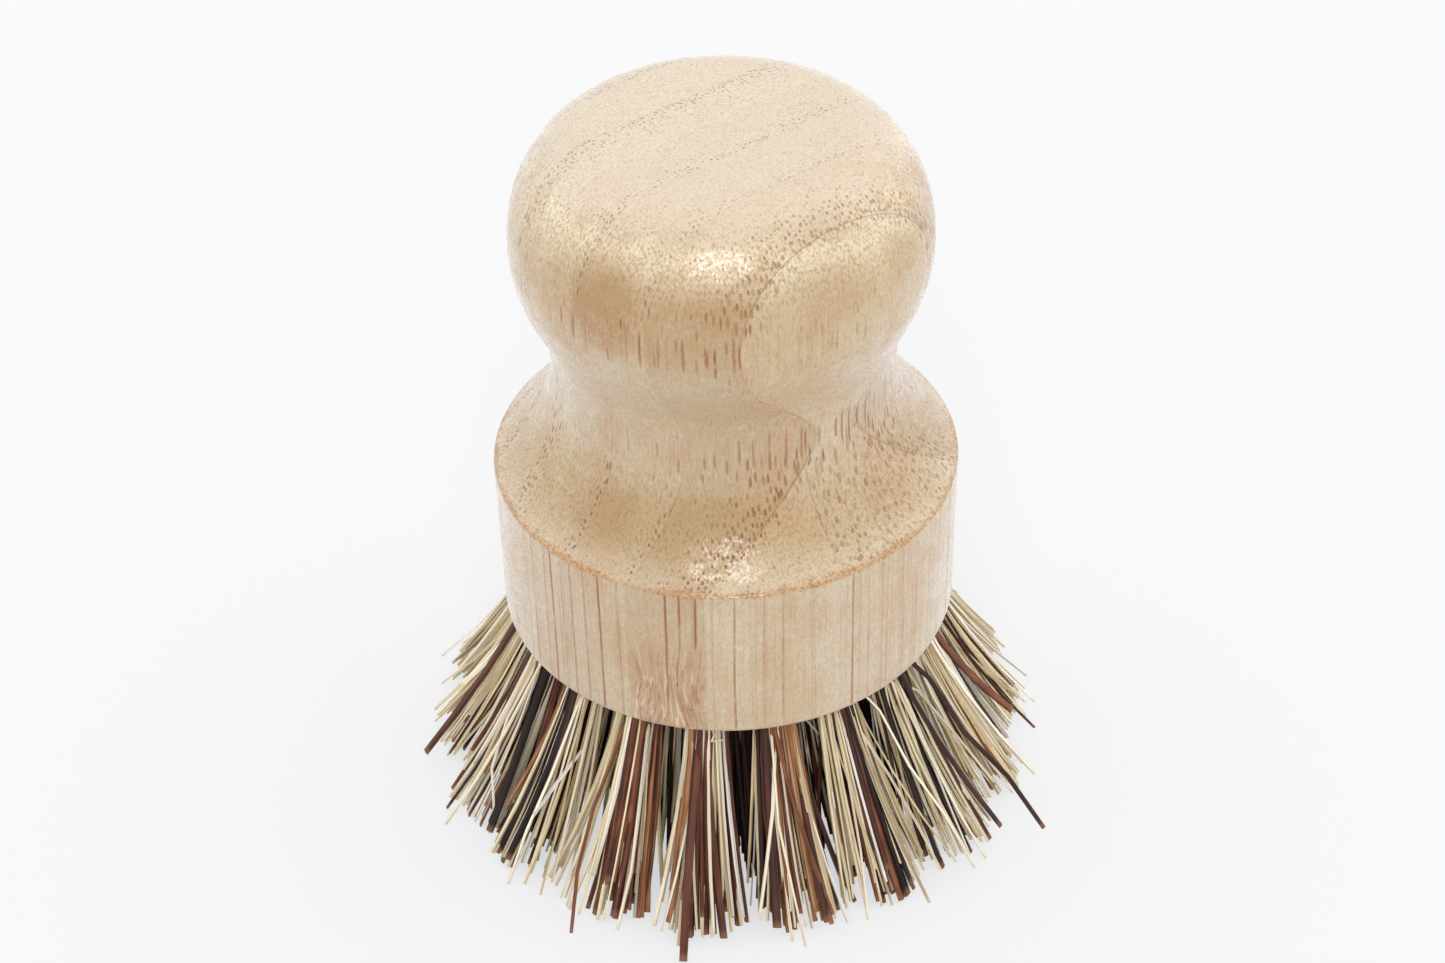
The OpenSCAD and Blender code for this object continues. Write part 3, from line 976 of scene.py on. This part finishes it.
# %% Lay the fibres of one kind
def lay_fibres(rod, name, paths, tangential, width, thick, twist, tone, chance, strip_start, strip_wide):
    """One object of as many copies of the rod as there are paths, with their attributes and maps."""
    count = len(paths)
    start_clean()
    bunch = bpy.data.objects.new(name, rod.data.copy())
    bpy.context.scene.collection.objects.link(bunch)
    bpy.context.view_layer.objects.active = bunch
    bunch.select_set(True)
    sections = np.array([v.co for v in rod.data.vertices])
    repeat = bunch.modifiers.new("repeat", "ARRAY")
    repeat.count, repeat.use_merge_vertices = count, False
    bpy.ops.object.modifier_apply(modifier=repeat.name)
    places = bend_rods(sections, paths, tangential, width, thick, twist)
    places[:, :, 2] = np.maximum(places[:, :, 2], 0)
    bunch.data.vertices.foreach_set("co", (places * MM).astype(np.float32).ravel())
    bunch.data.update()

    per_fibre = len(sections)
    for label, values in (("tone", tone), ("lot", chance.random(count))):
        attribute = bunch.data.attributes.new(label, "FLOAT", "POINT")
        attribute.data.foreach_set("value", np.repeat(values, per_fibre).astype(np.float32))

    round_along, is_end = rod_map(rod)
    strand = bunch.data.uv_layers.new(name="strand")
    strand.data.foreach_set("uv", np.tile(round_along, (count, 1)).astype(np.float32).ravel())
    strips = bunch.data.uv_layers.new(name="OFBake")
    k = np.repeat(np.arange(count), len(round_along))
    (across, along), end = np.tile(round_along, (count, 1)).T, np.tile(is_end, count)
    # Beside its neighbours a fibre leaves a margin, and its two cut ends take the rows beyond its own
    margin = 0.08
    u = strip_start + (k + margin + (1 - 2 * margin) * across) * strip_wide
    v = np.where(end == 0, 0.02 + 0.96 * along, np.where(end == 1, 0.014, 0.998) - 0.012 * along)
    strips.data.foreach_set("uv", np.column_stack([u, v]).astype(np.float32).ravel())
    return bunch


# %% [markdown]
# ### Finishes of the fibres
# Both fibres have fine lines along them and uneven colour, so these effects are one node group with its own
# inputs. The palm strips are brown and a little shiny, with paler cut ends. The threads are straw and dull.

# %% Streaks and mottling, shared by both finishes
streaks = bpy.data.node_groups.new("fibre_streaks", "ShaderNodeTree")
for label in ("Fineness", "Length"):
    streaks.interface.new_socket(label, in_out="INPUT", socket_type="NodeSocketFloat")
for label in ("Streak", "Mottle", "End"):
    streaks.interface.new_socket(label, in_out="OUTPUT", socket_type="NodeSocketFloat")
entry = streaks.nodes.new("NodeGroupInput").outputs
leave = streaks.nodes.new("NodeGroupOutput")
strand_u, strand_v, _ = split("XYZ", put(streaks, "UVMap", uv_map="strand").outputs[0])
lot = put(streaks, "Attribute", attribute_name="lot").outputs["Fac"]
shift = times(lot, 97.0)
around = plus(times(strand_u, entry["Fineness"]), shift)
along = times(strand_v, entry["Length"])
thin_spot = put(streaks, "CombineXYZ", (around, along, shift)).outputs[0]
blot_spot = put(streaks, "CombineXYZ", (times(strand_u, 1.5), times(along, 5.0), shift)).outputs[0]
thin = put(streaks, "TexNoise", {"Vector": thin_spot, "Scale": 1.0, "Detail": 2.0}).outputs["Fac"]
blot = put(streaks, "TexNoise", {"Vector": blot_spot, "Scale": 1.0, "Detail": 3.0}).outputs["Fac"]
at_end = rise(apart(strand_v, 0.5), 0.485, 0.498)
feed(leave, {"Streak": thin, "Mottle": blot, "End": at_end})
print("fibre_streaks:", len(streaks.nodes), "nodes")


# %% The two finishes
def fibre_finish(name, stops, fineness, length, mottled, streaked, end_paint, roughness):
    """Colours run along the stops by a fibre's tone, with mottling and streaks."""
    finish, tree, shader = new_finish(name)
    effect = put(tree, "Group", {"Fineness": fineness, "Length": length}, node_tree=streaks).outputs
    tone = put(tree, "Attribute", attribute_name="tone").outputs["Fac"]
    blot = times(minus(effect["Mottle"], 0.5), mottled)
    ramp = put(tree, "ValToRGB", (calc("ADD", tone, blot, clamp=True),))
    elements = ramp.color_ramp.elements
    while len(elements) < len(stops):
        elements.new(0.5)
    for element, (at, colour) in zip(elements, stops):
        element.position, element.color = at, paint(*colour)
    line = rise(effect["Streak"], 0.62, 0.35, 0.0, streaked)
    darker = dye(1.0, ramp.outputs[0], paint(120, 100, 88), "MULTIPLY")
    shade = dye(line, ramp.outputs[0], darker)
    bump = {"Strength": 0.4, "Distance": 0.05 * MM, "Height": effect["Streak"]}
    feed(shader, {
        "Base Color": dye(times(effect["End"], 0.6), shade, paint(*end_paint)),
        "Roughness": rise(effect["Streak"], 0.2, 0.8, roughness - 0.08, roughness + 0.12),
        "Normal": put(tree, "Bump", bump).outputs[0],
        "Specular IOR Level": 0.3,
    })
    return finish


PALM_STOPS = [
    (0.0, (46, 34, 32)), (0.25, (80, 50, 43)), (0.5, (116, 66, 48)), (0.75, (170, 112, 74)),
    (1.0, (202, 156, 110)),
]
THREAD_STOPS = [
    (0.0, (172, 146, 112)), (0.25, (224, 202, 158)), (0.55, (247, 231, 193)), (0.85, (253, 244, 220)),
    (1.0, (247, 243, 234)),
]
palm_finish = fibre_finish("palm_strip", PALM_STOPS, 9, 3, 0.6, 0.8, (150, 106, 76), 0.6)
thread_finish = fibre_finish("agave_thread", THREAD_STOPS, 4, 4, 0.4, 0.5, (214, 198, 160), 0.62)

# %% [markdown]
# ## The 37 tufts
# In each bore the fibres fill a round packet, and they part as they leave it. The palm strips lie together in
# a few sheets, around their own side of the tuft; the threads take the rest.


# %% Places of fibres along and beside the anchor
def packed(count, middle, spread, chance):
    """Places across the tuft, and the two legs' distances from the anchor, all inside the bore."""
    most, least = bore_r - 0.35, 0.3
    across = np.clip(chance.normal(middle, spread, count), -most, most)
    room = np.sqrt(most**2 - across**2)
    out = least + (room - least).clip(0) * np.sqrt(chance.random((2, count)))
    return across, out[0], out[1]


# %% How the fibres of a tuft vary, in millimetres
most_palms, most_threads, threads_per_share = 26, 60, 34
tip_spread, threads_wider = np.array([4.9, 5.9]), 1.03
# Palm strips: how far the sheets part, how far a strip leaves its sheet, and their widths and thicknesses
SHEETS, sheets_part, strips_part = 6, 1.3, 0.4
sheet_tones_vary, strip_tones_vary = 0.26, 0.08
strip_widths, strip_thicknesses, strip_twist = (0.55, 1.3), (0.3, 0.5), 0.5
# Threads: how far they lie from the palm's side, how far they part, and the widths of fine and of stout ones
threads_aside, threads_part = -0.9, 1.5
fine_widths, stout_widths, stout_share = (0.28, 0.5), (0.6, 0.85), 0.15
thread_tone, thread_tones_vary = 0.55, 0.24
print("fibres in a tuft that is half palm:", most_palms // 2 + most_threads - threads_per_share // 2)


# %% Build one tuft
def build_tuft(ring, i):
    """Draws the palm strips first and the threads second, all from the tuft's own seed."""
    chance = np.random.default_rng(1000 * ring + i + 7)
    name, turn = tuft_node(ring, i), tuft_turn(ring, i)
    tangential = np.array([-math.sin(turn), math.cos(turn), 0])
    share, side, tone = tuft_mix(ring, i, chance)
    palms, threads = int(round(most_palms * share)), int(round(most_threads - threads_per_share * share))
    strip = 1 / (2 * palms + threads)

    sheet = np.arange(palms) % SHEETS
    middles = chance.normal(side, sheets_part, SHEETS)
    sheet_tones = chance.normal(tone, sheet_tones_vary, SHEETS)
    packet = packed(palms, middles[sheet], strips_part, chance)
    paths = fold_paths(ring, i, *packet, chance, tip_spread, 0.5)
    tones = np.clip(sheet_tones[sheet] + chance.normal(0, strip_tones_vary, palms), 0, 1)
    width = chance.uniform(*strip_widths, palms)
    put_loose(ring, i, "palm", paths, tones, width)
    thick, twist = chance.uniform(*strip_thicknesses, palms), chance.normal(0, strip_twist, palms)
    palm = lay_fibres(
        palm_rod, name + "_fibres", paths, tangential, width, thick, twist, tones, chance, 0, 2 * strip
    )
    palm.data.materials.append(palm_finish)

    packet = packed(threads, threads_aside * side, threads_part, chance)
    paths = fold_paths(ring, i, *packet, chance, tip_spread * threads_wider, 0.8)
    tones = np.clip(chance.normal(thread_tone, thread_tones_vary, threads), 0, 1)
    is_stout = chance.random(threads) < stout_share
    width = np.where(is_stout, chance.uniform(*stout_widths, threads), chance.uniform(*fine_widths, threads))
    put_loose(ring, i, "thread", paths, tones, width)
    thick = np.minimum(width, 0.45) * chance.uniform(0.75, 1, threads)
    twist = chance.uniform(0, 1.5, threads)
    thread = lay_fibres(
        thread_rod, name + "_threads", paths, tangential, width, thick, twist, tones, chance,
        2 * palms * strip, strip,
    )
    thread.data.materials.append(thread_finish)

    start_clean()
    thread.select_set(True)
    palm.select_set(True)
    bpy.context.view_layer.objects.active = palm
    bpy.ops.object.join()
    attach(palm, "root")
    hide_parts(name)
    return palm


# %% Build them all
tufts = [build_tuft(ring, i) for ring, i in TUFTS]
for rod in (palm_rod, thread_rod):
    bpy.data.objects.remove(rod)
counts = [sum(len(face.vertices) - 2 for face in tuft.data.polygons) for tuft in tufts]
print("fibre triangles:", sum(counts), "most in one tuft:", max(counts))
